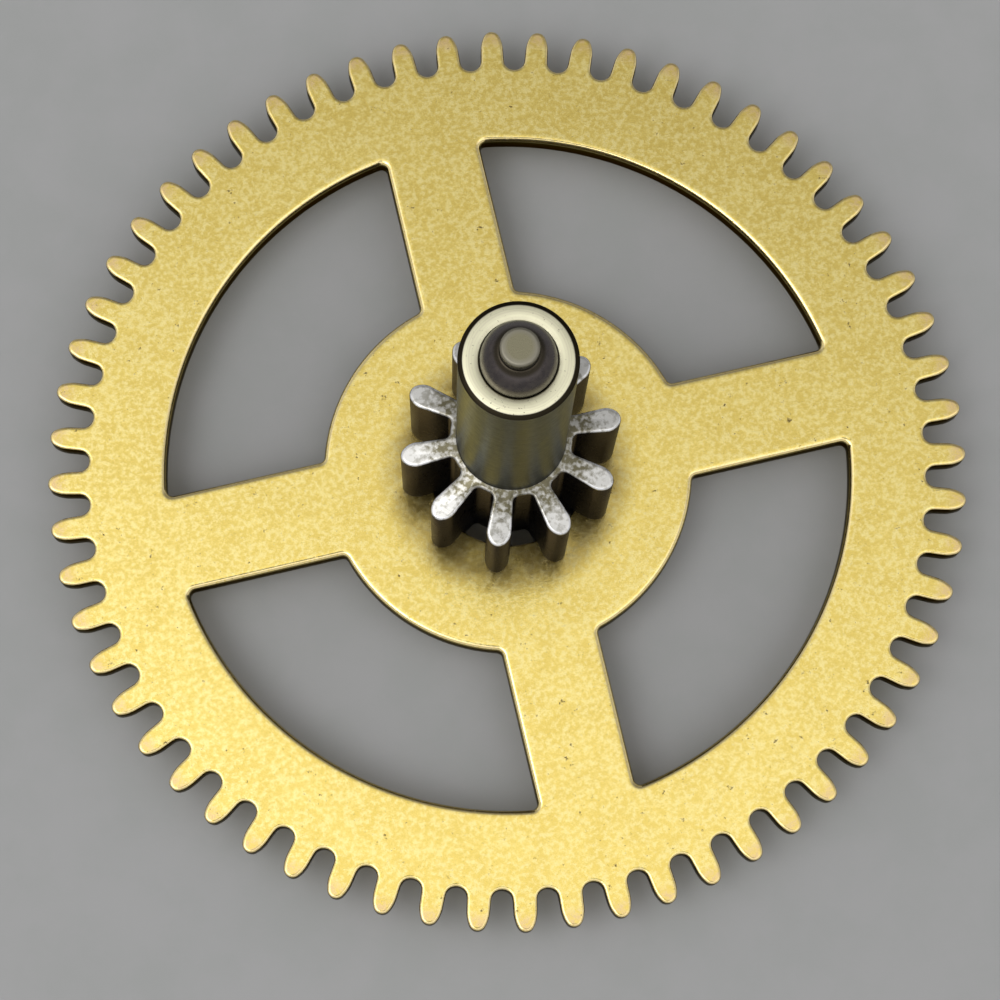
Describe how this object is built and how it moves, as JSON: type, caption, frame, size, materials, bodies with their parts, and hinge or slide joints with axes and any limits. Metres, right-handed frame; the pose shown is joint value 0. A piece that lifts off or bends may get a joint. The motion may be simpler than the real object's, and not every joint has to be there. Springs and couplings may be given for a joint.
{
  "type": "clock second wheel",
  "caption": "Spoked brass clock wheel with rounded-tip teeth, riveted to a long steel leaf pinion on an arbor with a pivot at each end.",
  "frame": {"origin": "on the arbor's axis, at the shoulder of the lower pivot", "axes": "+Z along the arbor, from the wheel towards the end of the sleeve; +X along one spoke of the wheel"},
  "size_m": [0.0376, 0.0376, 0.0231],
  "materials": {
    "brass": "flat stamped brass, lightly tarnished and pitted, with burnished edges",
    "pinion_steel": "turned and cut steel with worn bright end faces",
    "arbor_steel": "darker hardened steel with polished pivots"
  },
  "bodies": {
    "root": {"wheel": "brass", "leaf_pinion": "pinion_steel", "arbor": "arbor_steel"}
  },
  "joints": []
}
